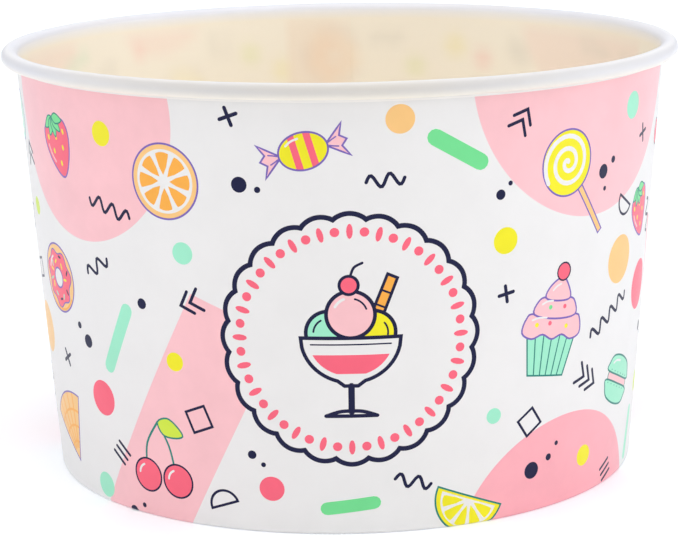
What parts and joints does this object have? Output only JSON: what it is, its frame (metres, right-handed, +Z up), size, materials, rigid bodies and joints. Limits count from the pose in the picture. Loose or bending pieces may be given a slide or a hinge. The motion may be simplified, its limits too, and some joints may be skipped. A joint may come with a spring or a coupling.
{
  "type": "paper dessert cup",
  "caption": "Wide, shallow tapered board cup for a single cold dessert, with a rolled rim, a lapped side seam and a base disc held in a folded foot.",
  "frame": {"origin": "centre of the foot ring, on the plane the cup stands on", "axes": "+Z up out of the mouth, -Y towards the printed front, +Y towards the lapped side seam, +X to the right when the front faces the viewer"},
  "size_m": [0.096, 0.096, 0.0604],
  "materials": {
    "wall_board": "coated white board, printed all over the outside in several colours, satin",
    "base_board": "coated warm white board, unprinted, satin"
  },
  "bodies": {
    "root": {"side_wall": "wall_board", "base_disc": "base_board"}
  },
  "joints": []
}
